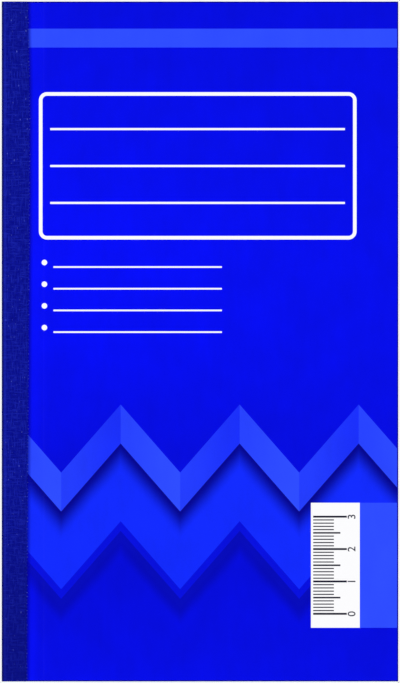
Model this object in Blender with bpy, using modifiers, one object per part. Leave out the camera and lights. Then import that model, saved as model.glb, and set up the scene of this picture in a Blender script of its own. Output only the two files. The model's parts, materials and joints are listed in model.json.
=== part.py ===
"""Duplicate memo book: a wire-stitched block of carbonless sets between two scored card covers,
bound at the spine with cloth tape.

The book lies closed on its back cover. +X runs from the spine to the fore edge, +Y from the foot to the
head, +Z from the back cover to the front cover. The origin is under the middle of the closed book.
"""

import math

import bmesh
import bpy
from mathutils import Vector

MM = 0.001

# Closed book
BOOK_WIDTH = 122.5 * MM
BOOK_HEIGHT = 210.0 * MM

# Card covers, scored so that each one folds open beside the tape
CARD_THICKNESS = 0.45 * MM
SCORE_FROM_SPINE = 12.7 * MM
SCORE_GROOVE = 0.3 * MM

# Cloth tape folded round the spine
TAPE_THICKNESS = 0.2 * MM
TAPE_FRONT_WIDTH = 8.5 * MM
TAPE_BACK_WIDTH = 8.5 * MM
TAPE_CORNER_RADIUS = 0.3 * MM
TAPE_CORNER_STEPS = 4
GLUE_GAP = 0.05 * MM

# Leaves: an index sheet, then sets of a white top copy over a yellow duplicate copy
SET_COUNT = 100
LEAVES_PER_SET = 2
LEAF_THICKNESS = 0.058 * MM
LEAF_GAP = 0.012 * MM
LEAF_TRIM = 0.3 * MM

# The first sets are modelled leaf by leaf, the others as solid blocks of sets
LOOSE_SET_COUNT = 4
SETS_PER_BLOCK = 12

# Fold lines of the loose leaves, each a step further from the score than the leaf above it
FIRST_FOLD_FROM_SCORE = 2.5 * MM
FOLD_STEP = 0.3 * MM
FOLD_GAP = 0.2 * MM

# Tear line across each loose top copy: cuts with short ties between them
PERFORATION_PAST_FOLDS = 1.45 * MM
PERFORATION_PITCH = 4.2 * MM
PERFORATION_CUT = 2.8 * MM
PERFORATION_SLIT = 0.25 * MM
PERFORATION_TIE_GAP = 0.04 * MM
PERFORATION_CUTTER_REACH = 1.0 * MM

# Loose card that goes under the set being written on, stored inside the back cover
SHIELD_THICKNESS = 0.3 * MM
SHIELD_PAST_SCORE = 1.3 * MM
SHIELD_TRIM = 1.5 * MM

# Wire stitches through the binding margin, hidden by the tape
STITCH_FROM_SPINE = 5.0 * MM
STITCH_END_MARGIN = 30.0 * MM
STITCH_CROWN = 12.0 * MM
STITCH_CLINCH = 4.5 * MM
STITCH_BEND_RADIUS = 0.4 * MM
STITCH_BEND_STEPS = 4
WIRE_DIAMETER = 0.4 * MM
WIRE_CLEARANCE = 0.1 * MM
WIRE_SEAT_GAP = 0.02 * MM
WIRE_HOLE_SIDES = 8

PIVOT_DISPLAY_SIZE = 10.0 * MM

# Stack from the table up, worked out from the sizes above
LEAF_PITCH = LEAF_THICKNESS + LEAF_GAP
BOUND_LAYER = max(CARD_THICKNESS, WIRE_DIAMETER + 2 * WIRE_SEAT_GAP)
BACK_STRIP_BOTTOM = TAPE_THICKNESS + GLUE_GAP
SHIELD_BOTTOM = CARD_THICKNESS + GLUE_GAP
BLOCK_BOTTOM = max(BACK_STRIP_BOTTOM + BOUND_LAYER, SHIELD_BOTTOM + SHIELD_THICKNESS) + GLUE_GAP
BLOCK_SET_COUNT = SET_COUNT - LOOSE_SET_COUNT
LOOSE_LEAF_COUNT = 1 + LEAVES_PER_SET * LOOSE_SET_COUNT
LOOSE_BOTTOM = BLOCK_BOTTOM + BLOCK_SET_COUNT * LEAVES_PER_SET * LEAF_PITCH
FRONT_STRIP_BOTTOM = LOOSE_BOTTOM + LOOSE_LEAF_COUNT * LEAF_PITCH + GLUE_GAP
BOOK_THICKNESS = FRONT_STRIP_BOTTOM + BOUND_LAYER + GLUE_GAP + TAPE_THICKNESS

# Places across the book, measured from the outside of the spine
BLOCK_SPINE = TAPE_THICKNESS + GLUE_GAP
LEAF_FORE_EDGE = BOOK_WIDTH - LEAF_TRIM
LAST_FOLD = SCORE_FROM_SPINE + FIRST_FOLD_FROM_SCORE + (LOOSE_LEAF_COUNT - 1) * FOLD_STEP
PERFORATION_FROM_SPINE = LAST_FOLD + PERFORATION_PAST_FOLDS
STUB_EDGE = PERFORATION_FROM_SPINE - PERFORATION_TIE_GAP / 2

# Lengths and places along the book, the places measured from its middle
LEAF_HEIGHT = BOOK_HEIGHT - 2 * LEAF_TRIM
STITCH_CENTRES = {
    "head": BOOK_HEIGHT / 2 - STITCH_END_MARGIN,
    "middle": 0.0,
    "foot": STITCH_END_MARGIN - BOOK_HEIGHT / 2,
}


def across(from_spine):
    """World X of a place measured from the outside of the spine."""
    return from_spine - BOOK_WIDTH / 2


def clear_scene():
    for obj in list(bpy.data.objects):
        bpy.data.objects.remove(obj, do_unlink=True)


def make_collection(name):
    collection = bpy.data.collections.new(name)
    bpy.context.scene.collection.children.link(collection)
    return collection


def make_material(name, colour, roughness, metallic=0.0):
    material = bpy.data.materials.new(name)
    material.use_nodes = True
    shader = material.node_tree.nodes["Principled BSDF"]
    shader.inputs["Base Color"].default_value = (*colour, 1.0)
    shader.inputs["Roughness"].default_value = roughness
    shader.inputs["Metallic"].default_value = metallic
    return material


clear_scene()
BOOK = make_collection("duplicate_memo_book")
CUTTERS = make_collection("cutters")
COVER_CARD = make_material("blue_cover_card", (0.001, 0.003, 0.80), 0.35)
TAPE_CLOTH = make_material("navy_tape_cloth", (0.004, 0.008, 0.30), 0.85)
WHITE_PAPER = make_material("white_top_copy_paper", (0.86, 0.86, 0.83), 0.8)
YELLOW_PAPER = make_material("yellow_duplicate_paper", (0.90, 0.76, 0.28), 0.8)
MIXED_PAPER = make_material("stacked_set_paper", (0.88, 0.81, 0.55), 0.8)
SHIELD_CARD = make_material("grey_shield_card", (0.50, 0.47, 0.41), 0.8)
STITCH_WIRE = make_material("galvanised_stitch_wire", (0.62, 0.63, 0.65), 0.35, 1.0)


def attach(name, data, parent, world):
    """Adds an object to the book under its parent, standing at this place in the closed book."""
    obj = bpy.data.objects.new(name, data)
    BOOK.objects.link(obj)
    bpy.context.view_layer.update()
    obj.parent = parent
    obj.location = Vector(world) - parent.matrix_world.translation
    return obj


def make_pivot(name, from_spine, height, parent):
    """An empty on a fold or slide line at this distance from the spine and this height above the table."""
    pivot = attach(name, None, parent, (across(from_spine), 0.0, height))
    pivot.empty_display_size = PIVOT_DISPLAY_SIZE
    return pivot


def box_mesh(name, size):
    mesh = bpy.data.meshes.new(name)
    shape = bmesh.new()
    bmesh.ops.create_cube(shape, size=1.0)
    bmesh.ops.scale(shape, vec=size, verts=shape.verts)
    shape.to_mesh(mesh)
    shape.free()
    return mesh


def box_piece(name, left, right, height, bottom, thickness, material, pivot):
    """A plain sheet or card on a pivot, its left and right edges measured from the outside of the spine."""
    mesh = box_mesh(name, (right - left, height, thickness))
    mesh.materials.append(material)
    return attach(name, mesh, pivot, (across((left + right) / 2), 0.0, bottom + thickness / 2))


def add_spline(curve, points, closed):
    spline = curve.splines.new("POLY")
    spline.points.add(len(points) - 1)
    for target, point in zip(spline.points, points):
        target.co = (*point, 1.0)
    spline.use_cyclic_u = closed


def outline_piece(name, loops, thickness, material, world):
    """A bound piece from its outline, with any further loops as holes in it, centred on its own plane.

    The curve is drawn in millimetres and its object scaled to metres, because the fill of a curve loses
    details that are much smaller than a thousandth of a unit.
    """
    curve = bpy.data.curves.new(name, "CURVE")
    curve.dimensions = "2D"
    curve.fill_mode = "BOTH"
    curve.extrude = thickness / 2 / MM
    curve.materials.append(material)
    for loop in loops:
        add_spline(curve, [(x / MM, y / MM, 0.0) for x, y in loop], closed=True)
    piece = attach(name, curve, BOUND_BLOCK, world)
    piece.scale = (MM, MM, MM)
    return piece


def bound_plate(name, loops, bottom, thickness, material):
    """A stitched sheet or card. Its loops are measured from the outside of the spine."""
    return outline_piece(name, loops, thickness, material, (across(0.0), 0.0, bottom + thickness / 2))


def rectangle(left, right, height, middle=0.0):
    low, high = middle - height / 2, middle + height / 2
    return [(left, low), (right, low), (right, high), (left, high)]


def arc(centre, radius, start, end, steps):
    """Points round part of a circle, both ends included. Angles are in degrees."""
    angles = [math.radians(start + (end - start) * step / steps) for step in range(steps + 1)]
    return [(centre[0] + radius * math.cos(a), centre[1] + radius * math.sin(a)) for a in angles]


def wire_holes():
    """The two holes that each stitch's legs make in a leaf."""
    radius = WIRE_DIAMETER / 2 + WIRE_CLEARANCE
    turn = 360 * (1 - 1 / WIRE_HOLE_SIDES)
    return [
        arc((STITCH_FROM_SPINE, centre + side * STITCH_CROWN / 2), radius, 0, turn, WIRE_HOLE_SIDES - 1)
        for centre in STITCH_CENTRES.values()
        for side in (-1, 1)
    ]


def wire_slots():
    """The slots in which the stitches' crowns and clinched ends lie, pressed into the card."""
    width = WIRE_DIAMETER + 2 * WIRE_CLEARANCE
    left, right = STITCH_FROM_SPINE - width / 2, STITCH_FROM_SPINE + width / 2
    return [rectangle(left, right, STITCH_CROWN + width, centre) for centre in STITCH_CENTRES.values()]


def build_cover(side, strip_bottom, panel_bottom, fold_height):
    """A card cover in two pieces that meet at its score: the stitched strip and the panel that swings."""
    strip = rectangle(BLOCK_SPINE, SCORE_FROM_SPINE - SCORE_GROOVE / 2, BOOK_HEIGHT)
    strip_name = f"{side}_cover_binding_strip"
    bound_plate(strip_name, [strip, *wire_slots()], strip_bottom, CARD_THICKNESS, COVER_CARD)
    fold = make_pivot(f"{side}_cover_fold", SCORE_FROM_SPINE, fold_height, BOUND_BLOCK)
    left, right = SCORE_FROM_SPINE + SCORE_GROOVE / 2, BOOK_WIDTH
    box_piece(f"{side}_cover", left, right, BOOK_HEIGHT, panel_bottom, CARD_THICKNESS, COVER_CARD, fold)
    return fold


def build_spine_tape():
    """One strip of cloth tape: over the front cover's strip, down the spine and under the back one's."""
    top, corner = BOOK_THICKNESS, TAPE_CORNER_RADIUS
    inside, inside_top = TAPE_THICKNESS, BOOK_THICKNESS - TAPE_THICKNESS
    outline = [(TAPE_FRONT_WIDTH, top)]
    outline += arc((corner, top - corner), corner, 90, 180, TAPE_CORNER_STEPS)
    outline += arc((corner, corner), corner, 180, 270, TAPE_CORNER_STEPS)
    outline += [(TAPE_BACK_WIDTH, 0.0), (TAPE_BACK_WIDTH, inside), (inside, inside)]
    outline += [(inside, inside_top), (TAPE_FRONT_WIDTH, inside_top)]
    tape = outline_piece("spine_tape", [outline], BOOK_HEIGHT, TAPE_CLOTH, (across(0.0), 0.0, 0.0))
    tape.rotation_euler.x = math.pi / 2


def stitch_path(crown_height, clinch_height):
    """One stitch as a line of (along, height) points: clinched end, leg, crown, leg, clinched end."""
    half, bend = STITCH_CROWN / 2, STITCH_BEND_RADIUS
    right = arc((half - bend, crown_height - bend), bend, 90, 0, STITCH_BEND_STEPS)
    right += arc((half - bend, clinch_height + bend), bend, 0, -90, STITCH_BEND_STEPS)
    right.append((half - STITCH_CLINCH, clinch_height))
    left = [(-along, height) for along, height in reversed(right)]
    return left + right


def build_stitches():
    """Round wire, driven in from the front strip and clinched in the back strip."""
    crown_height = FRONT_STRIP_BOTTOM + BOUND_LAYER / 2
    clinch_height = BACK_STRIP_BOTTOM + BOUND_LAYER / 2
    path = [(0.0, along, height) for along, height in stitch_path(crown_height, clinch_height)]
    for place, centre in STITCH_CENTRES.items():
        name = f"wire_stitch_{place}"
        curve = bpy.data.curves.new(name, "CURVE")
        curve.dimensions = "3D"
        curve.bevel_depth = WIRE_DIAMETER / 2
        curve.bevel_resolution = 2
        curve.use_fill_caps = True
        curve.materials.append(STITCH_WIRE)
        add_spline(curve, path, closed=False)
        attach(name, curve, BOUND_BLOCK, (across(STITCH_FROM_SPINE), centre, 0.0))


def build_set_blocks():
    """The sets under the loose ones, in solid blocks named by the numbers of their sets, last set lowest."""
    outline = rectangle(BLOCK_SPINE, LEAF_FORE_EDGE, LEAF_HEIGHT)
    first = LOOSE_SET_COUNT + 1
    while first <= SET_COUNT:
        last = min(first + SETS_PER_BLOCK - 1, SET_COUNT)
        bottom = BLOCK_BOTTOM + (SET_COUNT - last) * LEAVES_PER_SET * LEAF_PITCH
        thickness = (last - first + 1) * LEAVES_PER_SET * LEAF_PITCH - LEAF_GAP
        name = f"sets_{first:03d}_to_{last:03d}"
        bound_plate(name, [outline, *wire_holes()], bottom, thickness, MIXED_PAPER)
        first = last + 1


def leaf_bottom(leaf):
    """Height of a loose leaf, counted down from the index sheet as leaf 0."""
    return LOOSE_BOTTOM + (LOOSE_LEAF_COUNT - 1 - leaf) * LEAF_PITCH


def build_margin(name, leaf, material):
    """The part of a loose leaf that stays in the binding, and the pivot at its fold line."""
    fold_from_spine = SCORE_FROM_SPINE + FIRST_FOLD_FROM_SCORE + leaf * FOLD_STEP
    bottom = leaf_bottom(leaf)
    outline = rectangle(BLOCK_SPINE, fold_from_spine - FOLD_GAP / 2, LEAF_HEIGHT)
    bound_plate(f"{name}_margin", [outline, *wire_holes()], bottom, LEAF_THICKNESS, material)
    fold = make_pivot(f"{name}_fold", fold_from_spine, bottom + LEAF_THICKNESS, BOUND_BLOCK)
    return fold, fold_from_spine + FOLD_GAP / 2


def build_whole_leaf(name, leaf, material):
    """A leaf with no tear line: the index sheet or a duplicate copy."""
    fold, left = build_margin(name, leaf, material)
    bottom = leaf_bottom(leaf)
    box_piece(f"{name}_leaf", left, LEAF_FORE_EDGE, LEAF_HEIGHT, bottom, LEAF_THICKNESS, material, fold)


def make_perforation_cutter():
    """A row of boxes, one for each cut of the tear line, through the stubs of all loose top copies."""
    depth = LOOSE_LEAF_COUNT * LEAF_PITCH + 2 * PERFORATION_CUTTER_REACH
    cutter_size = (PERFORATION_SLIT + PERFORATION_CUTTER_REACH, PERFORATION_CUT, depth)
    cutter = bpy.data.objects.new("perforation_cutter", box_mesh("perforation_cutter", cutter_size))
    cut_count = math.floor((LEAF_HEIGHT - PERFORATION_CUT) / PERFORATION_PITCH)
    left = STUB_EDGE - PERFORATION_SLIT
    first_cut = -(cut_count - 1) * PERFORATION_PITCH / 2
    cutter.location = (across(left + cutter_size[0] / 2), first_cut, LOOSE_BOTTOM + depth / 2)
    cutter.location.z -= PERFORATION_CUTTER_REACH
    row = cutter.modifiers.new("row of cuts", "ARRAY")
    row.count = cut_count
    row.use_relative_offset = False
    row.use_constant_offset = True
    row.constant_offset_displace = (0.0, PERFORATION_PITCH, 0.0)
    cutter.hide_render = True
    CUTTERS.objects.link(cutter)
    return cutter


def build_top_copy(name, leaf, perforation_cutter):
    """A perforated leaf: its margin, the stub that turns with it and the sheet that tears off the stub."""
    fold, left = build_margin(name, leaf, WHITE_PAPER)
    bottom = leaf_bottom(leaf)
    stub_name, sheet_name = f"{name}_stub", f"{name}_sheet"
    stub = box_piece(stub_name, left, STUB_EDGE, LEAF_HEIGHT, bottom, LEAF_THICKNESS, WHITE_PAPER, fold)
    cuts = stub.modifiers.new("perforation cuts", "BOOLEAN")
    cuts.operation = "DIFFERENCE"
    cuts.solver = "EXACT"
    cuts.object = perforation_cutter
    tear = make_pivot(f"{name}_tear_line", PERFORATION_FROM_SPINE, bottom, fold)
    sheet_left = PERFORATION_FROM_SPINE + PERFORATION_TIE_GAP / 2
    box_piece(sheet_name, sheet_left, LEAF_FORE_EDGE, LEAF_HEIGHT, bottom, LEAF_THICKNESS, WHITE_PAPER, tear)


def build_loose_leaves():
    """The index sheet, then the top copy and the duplicate copy of each loose set, from the front down."""
    cutter = make_perforation_cutter()
    build_whole_leaf("index_sheet", 0, WHITE_PAPER)
    for number in range(1, LOOSE_SET_COUNT + 1):
        top_leaf = 1 + (number - 1) * LEAVES_PER_SET
        build_top_copy(f"top_copy_{number}", top_leaf, cutter)
        build_whole_leaf(f"duplicate_copy_{number}", top_leaf + 1, YELLOW_PAPER)


def build_writing_shield(back_cover_fold):
    """The loose card between the last set and the back cover, which slides out at the fore edge."""
    left, right = SCORE_FROM_SPINE + SHIELD_PAST_SCORE, BOOK_WIDTH - SHIELD_TRIM
    height = BOOK_HEIGHT - 2 * SHIELD_TRIM
    slide = make_pivot("writing_shield_slide", left, SHIELD_BOTTOM, back_cover_fold)
    box_piece("writing_shield", left, right, height, SHIELD_BOTTOM, SHIELD_THICKNESS, SHIELD_CARD, slide)


BOUND_BLOCK = bpy.data.objects.new("bound_block", None)
BOOK.objects.link(BOUND_BLOCK)
build_set_blocks()
build_loose_leaves()
build_cover("front", FRONT_STRIP_BOTTOM, FRONT_STRIP_BOTTOM, FRONT_STRIP_BOTTOM + CARD_THICKNESS)
BACK_COVER_FOLD = build_cover("back", BACK_STRIP_BOTTOM, 0.0, 0.0)
build_writing_shield(BACK_COVER_FOLD)
build_stitches()
build_spine_tape()
bpy.context.view_layer.update()
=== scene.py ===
# %% [markdown]
# # A duplicate memo book
# The real book is a block of numbered sets, each a white top copy over a yellow duplicate copy, stitched
# with wire between two scored cards and closed at the spine with cloth tape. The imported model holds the
# solids and the joints. This lesson loads it as a fixed frame and dresses what shows: the printed covers,
# the woven tape, the trimmed paper edges and, for an open book, the ruled pages.

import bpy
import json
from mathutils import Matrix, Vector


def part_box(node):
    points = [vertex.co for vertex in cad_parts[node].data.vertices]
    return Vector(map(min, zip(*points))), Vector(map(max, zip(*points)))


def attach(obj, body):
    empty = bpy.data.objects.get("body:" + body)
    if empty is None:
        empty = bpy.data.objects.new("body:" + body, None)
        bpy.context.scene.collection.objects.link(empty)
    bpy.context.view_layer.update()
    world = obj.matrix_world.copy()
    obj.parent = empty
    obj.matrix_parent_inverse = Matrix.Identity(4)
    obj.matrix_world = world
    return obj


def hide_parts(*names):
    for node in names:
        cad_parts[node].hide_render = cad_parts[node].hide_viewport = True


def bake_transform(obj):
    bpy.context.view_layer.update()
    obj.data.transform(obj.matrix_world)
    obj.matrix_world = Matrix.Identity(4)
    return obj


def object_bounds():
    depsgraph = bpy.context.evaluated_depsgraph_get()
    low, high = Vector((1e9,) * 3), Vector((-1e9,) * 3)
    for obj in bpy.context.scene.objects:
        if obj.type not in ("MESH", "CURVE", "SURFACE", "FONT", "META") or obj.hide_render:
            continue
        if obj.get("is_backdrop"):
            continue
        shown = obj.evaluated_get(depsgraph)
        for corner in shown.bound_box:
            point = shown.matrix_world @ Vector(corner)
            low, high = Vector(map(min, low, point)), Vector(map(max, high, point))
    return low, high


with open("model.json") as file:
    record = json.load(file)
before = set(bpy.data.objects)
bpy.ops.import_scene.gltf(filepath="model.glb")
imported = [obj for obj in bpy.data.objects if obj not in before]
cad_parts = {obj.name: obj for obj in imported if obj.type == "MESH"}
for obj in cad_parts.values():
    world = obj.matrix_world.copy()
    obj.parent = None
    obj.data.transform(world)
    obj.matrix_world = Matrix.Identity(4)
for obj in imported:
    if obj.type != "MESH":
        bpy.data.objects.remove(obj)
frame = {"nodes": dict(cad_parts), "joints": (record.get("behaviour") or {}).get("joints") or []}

import inspect
import json
import math

import bmesh
import bpy
from mathutils import Color, Matrix, Vector, noise

MM = 0.001
cad_low, cad_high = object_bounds()

# %% [markdown]
# ## Places taken from the frame
# A dressed piece has to lie exactly on its solid, so no place is measured by eye. The boxes of the solids
# give the spine, the edges and the heights, and the joints give the fold lines. Sizes that only print or
# cloth needs are named later, beside the piece that uses them.

# %% Places of the covers, the tape and the leaves
BINDING = "bound_block"
tape_low, tape_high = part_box("spine_tape")
front_low, front_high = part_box("front_cover")
back_low, back_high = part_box("back_cover")
back_strip_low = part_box("back_cover_binding_strip")[0]
SPINE, FORE_EDGE = tape_low.x, front_high.x
FOOT, HEAD = tape_low.y, tape_high.y
COVER_WIDTH, SHEET_HEIGHT = FORE_EDGE - SPINE, HEAD - FOOT
fold_places = {joint["name"]: Vector(joint["pos_m"]) for joint in frame["joints"] if "pos_m" in joint}
SCORE = fold_places["front_cover_open"].x
BLOCK_NODES = sorted(name for name in frame["nodes"] if name.startswith("sets_"))
LOOSE_SETS = sorted(int(name.split("_")[2]) for name in frame["nodes"] if name.endswith("_sheet"))
print(f"score {(SCORE - SPINE) / MM:.1f} mm from the spine, loose sets {LOOSE_SETS}")

# %% [markdown]
# ## Building node trees
# Every finish here is a tree of nodes. Written out one call at a time such a tree is long and hard to read.
# So what comes out of a node is kept in a small class, and a sum written with it, such as (down - first) /
# spacing, becomes nodes by itself. A function of such sums can become a node group: its parameters are the
# inputs, and what it returns are the outputs. Shaders and Geometry Nodes both use this.

# %% Sums that become nodes
class Value:
    """What comes out of a node. A sum that is written with it becomes a node of the same tree."""

    def __init__(self, socket):
        self.socket = socket
        self.tree = socket.id_data

    def __add__(self, other):
        return calc("ADD", self, other)

    def __sub__(self, other):
        return calc("SUBTRACT", self, other)

    def __mul__(self, other):
        return calc("MULTIPLY", self, other)

    def __truediv__(self, other):
        return calc("DIVIDE", self, other)

    def __rtruediv__(self, other):
        return calc("DIVIDE", other, self)


def configure(thing, **settings):
    for name, value in settings.items():
        setattr(thing, name, value)
    return thing


def fill(socket, value):
    """Gives a socket a plain value, or a link from what comes out of another node."""
    if isinstance(value, Value):
        value.tree.links.new(value.socket, socket)
    else:
        socket.default_value = value


def add(tree, kind, sockets=None, output=0, **settings):
    """An output of a new node: settings are its own properties, sockets its inputs by name or by number."""
    node = configure(tree.nodes.new(kind), **settings)
    for key, value in (sockets or {}).items():
        fill(node.inputs[key], value)
    return Value(node.outputs[output])


def calc(operation, *values):
    """The result of one sum, on vectors where a vector goes in."""
    inputs = [value for value in values if isinstance(value, Value)]
    on_vectors = any(value.socket.type == "VECTOR" for value in inputs)
    kind = "ShaderNodeVectorMath" if on_vectors else "ShaderNodeMath"
    return add(inputs[0].tree, kind, dict(enumerate(values)), operation=operation)


print("sums ready")

# %% Masks, noise and colours
# The Mix node has sockets of one name for numbers, vectors and colours, so the colours' go by number.
MIX_SHARE, MIX_UNDER, MIX_OVER, MIX_RESULT = 0, 6, 7, 2


def largest(first, *others):
    for value in others:
        first = calc("MAXIMUM", first, value)
    return first


def distance(x, y):
    return calc("SQRT", x * x + y * y)


def split(place):
    """The three numbers of a vector."""
    node = add(place.tree, "ShaderNodeSeparateXYZ", {"Vector": place}).socket.node
    return [Value(socket) for socket in node.outputs]


def soft_step(value, start, end):
    """0 before start and 1 after end, with a smooth slope between them."""
    sockets = {"Value": value, "From Min": start, "From Max": end}
    return add(value.tree, "ShaderNodeMapRange", sockets, interpolation_type="SMOOTHSTEP")


def cloudy(place, scale, detail, output=0):
    sockets = {"Vector": place, "Scale": scale, "Detail": detail}
    return add(place.tree, "ShaderNodeTexNoise", sockets, output)


def mix_colours(share, under, over):
    """The colour under, covered by the colour over as far as share says."""
    sockets = {MIX_SHARE: share, MIX_UNDER: under, MIX_OVER: over}
    return add(share.tree, "ShaderNodeMix", sockets, MIX_RESULT, data_type="RGBA")


def print_over(colour, layers):
    """A colour with layers over it in turn, each given as its mask and its colour."""
    for mask, layer in layers:
        colour = mix_colours(mask, colour, layer)
    return colour


def ink(*channels):
    """A colour as a picture shows it, from 0 to 255 a channel, as the linear value that a shader takes."""
    colour = Color([channel / 255 for channel in channels])
    return (*colour.from_srgb_to_scene_linear(), 1.0)


print("masks and colours ready")

# %% Functions that become node groups
def build_group(recipe, tree_kind, result_kind):
    """A node group from a function. A parameter's default is its kind, or what a number starts with."""
    group = bpy.data.node_groups.new(recipe.__name__, tree_kind)
    for name, parameter in inspect.signature(recipe).parameters.items():
        is_number = isinstance(parameter.default, float)
        kind = "Float" if is_number else parameter.default
        socket = group.interface.new_socket(name, in_out="INPUT", socket_type=f"NodeSocket{kind}")
        if is_number:
            socket.default_value = parameter.default
    start = group.nodes.new("NodeGroupInput")
    results = recipe(**{socket.name: Value(socket) for socket in start.outputs if socket.name})
    for name in results:
        group.interface.new_socket(name, in_out="OUTPUT", socket_type=f"NodeSocket{result_kind}")
    end = group.nodes.new("NodeGroupOutput")
    for name, value in results.items():
        fill(end.inputs[name], value)
    print("group", group.name, "with", len(group.nodes), "nodes gives", ", ".join(results))
    return group


def shader_group(recipe):
    """Makes a function a node group. Each call then puts the group into the tree of the place it is given."""
    group = build_group(recipe, "ShaderNodeTree", "Float")

    def put(place, **sockets):
        node = add(place.tree, "ShaderNodeGroup", {"place": place, **sockets}, node_tree=group).socket.node
        return {socket.name: Value(socket) for socket in node.outputs}
    return put


def geometry_tree(recipe):
    return build_group(recipe, "GeometryNodeTree", "Geometry")


print("groups ready")

# %% [markdown]
# ## Effects that several finishes share
# Paper, card and greyboard are all felted fibres and differ only in the size of the grain. Ink lies unevenly
# on both covers, and rules and boxes are printed on the front and on the pages. They could be image
# textures, but a formula stays sharp at any distance. Each is one node group, so that a finish only gives it
# sizes.

# %% Fibres of paper and card
FIBRE_STRETCH = 5.0
MOTTLE_GRAINS = 14.0
MOTTLE_SPAN = 0.3, 0.7


@shader_group
def fibres(place="Vector", grain=0.3 * MM):
    """The height of felted fibres, and a mottle of clouds that are many grains wide."""
    density = 1.0 / grain
    stretches = (1.0, FIBRE_STRETCH, 1.0), (FIBRE_STRETCH, 1.0, 1.0)
    strands = [cloudy(place * stretch, density, detail=2.0) for stretch in stretches]
    clouds = cloudy(place, density / MOTTLE_GRAINS, detail=3.0)
    return {"height": largest(*strands), "mottle": soft_step(clouds, *MOTTLE_SPAN)}


# %% Unevenly laid ink
CLOUD_SIZE, STREAK_SIZE, GRAIN_SIZE = (11 * MM, 15 * MM), (2.4 * MM, 11 * MM), (0.7 * MM, 0.7 * MM)
NOISE_MIDDLE = 0.5


@shader_group
def uneven_ink(place="Vector", clouds=0.2, streaks=0.1, grain=0.1):
    """A tone near 1 that wanders in patches of three sizes, each as strong as given."""
    tone = 1.0
    for strength, size in ((clouds, CLOUD_SIZE), (streaks, STREAK_SIZE), (grain, GRAIN_SIZE)):
        patch = cloudy(place / (*size, 1.0), 1.0, detail=2.0)
        tone = (patch - NOISE_MIDDLE) * strength + tone
    return {"tone": tone}


# %% Printed rules and boxes
PRINT_BLUR = 0.03 * MM


def printed(past_edge):
    """1 inside the edge of a print and 0 outside it, with the slight blur of ink."""
    return soft_step(past_edge, PRINT_BLUR, -PRINT_BLUR)


def nearest_row(down, first, spacing, count):
    """The place of the row that lies nearest to a place down the sheet."""
    row = calc("ROUND", (down - first) / spacing)
    return calc("MINIMUM", largest(row, 0.0), count - 1) * spacing + first


@shader_group
def printed_rules(place="Vector", first=0.0, spacing=1.0, count=1.0, weight=0.2 * MM, left=0.0, right=1.0):
    """Rules across a sheet, evenly spaced from the first one down."""
    across, down, _ = split(place)
    past_rule = calc("ABSOLUTE", down - nearest_row(down, first, spacing, count)) - weight / 2
    return {"line": printed(largest(past_rule, left - across, across - right))}


@shader_group
def printed_box(
        place="Vector", left=0.0, right=1.0, top=0.0, bottom=1.0, corner=0.1 * MM, weight=0.3 * MM):
    """A box with round corners: the whole of it, and an outline just inside its edge."""
    across, down, _ = split(place)
    past_sides = []
    for value, low, high in ((across, left, right), (down, top, bottom)):
        from_middle = calc("ABSOLUTE", value - (low + high) / 2)
        past_sides.append(from_middle - (high - low) / 2 + corner)
    round_part = distance(*[largest(past_side, 0.0) for past_side in past_sides])
    flat_part = calc("MINIMUM", largest(*past_sides), 0.0)
    outside = round_part + flat_part - corner
    off_line = calc("ABSOLUTE", outside + weight / 2) - weight / 2
    return {"inside": printed(outside), "outline": printed(off_line)}


# %% [markdown]
# ## Where a pattern sits
# Covers and pages bend when the book opens, and a pattern on plain Object coordinates would slide over a
# bent sheet. Every sheet therefore keeps its flat place at rest as an attribute on its points. For print the
# place is counted as a printer does, across from the spine and down from the head, and its sizes are given
# in millimetres.

# %% Places for patterns and the plain shader
FLAT_PLACE = "flat_place"


def flat_place(material):
    return add(material.node_tree, "ShaderNodeAttribute", output="Vector", attribute_name=FLAT_PLACE)


def print_place(material):
    """The place on a sheet as a vector: across from the spine, down from the head."""
    return flat_place(material) * (1.0, -1.0, 0.0) + (-SPINE, HEAD, 0.0)


def mm(**sizes):
    return {name: size * MM for name, size in sizes.items()}


def ruling(count, **sizes):
    return {"count": count, **mm(**sizes)}


def new_material(name, roughness, specular):
    """A material and its shader's inputs: the two plain values stay on the shader's own sockets."""
    material = bpy.data.materials.new(name)
    material.use_nodes = True
    surface = material.node_tree.nodes["Principled BSDF"].inputs
    surface["Roughness"].default_value = roughness
    surface["Specular IOR Level"].default_value = specular
    return material, surface


def emboss(surface, height, depth):
    """Bump of a depth in metres from a height between 0 and 1."""
    fill(surface["Normal"], add(height.tree, "ShaderNodeBump", {"Height": height, "Distance": depth}))


print("pattern places ready")

# %% [markdown]
# ## The printed card
# The covers are glossy card printed solid blue, a little deeper at the head and foot than in the middle.
# A painted highlight brightens a strip beside the tape, where the card bends, and painted shade darkens the
# rim where the trimmed edge rounds over. The front also carries white rules and a measuring scale, and two
# zigzag bands across its lower half. Separate decals could carry the print, but they would lift off a bent
# card. So it is one colour chain: the ground first, then each layer over the ones before, as ink goes on a
# press.

# %% The blue ground of both covers
FRONT, BACK = 1, -1
TAPE_EDGE = tape_high.x - SPINE
EDGE_WIDEST = 0.16 * SHEET_HEIGHT
HEAD_DRIFT, FOOT_DRIFT = 0.5 * MM, 0.85 * MM
# The strip beside the tape carries a painted highlight, where the card bends next to the tape.
STRIP_PAST_SCORE, STRIP_LEAN, STRIP_BLUR = 0.6 * MM, 2.5 * MM, 1.5 * MM
STRIP_END = SCORE - SPINE + STRIP_PAST_SCORE
STRIP_SHARE, FORE_EDGE_SHARE = 0.4, 0.5
GROUND_STOPS = {
    0.0: ink(1, 8, 221), 0.36: ink(2, 10, 245), 0.5: ink(1, 9, 242), 0.7: ink(1, 7, 214),
    0.85: ink(1, 7, 214), 1.0: ink(1, 8, 229)}
FORE_EDGE_BLUE, STRIP_BLUE = ink(1, 8, 218), ink(3, 14, 250)


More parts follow.
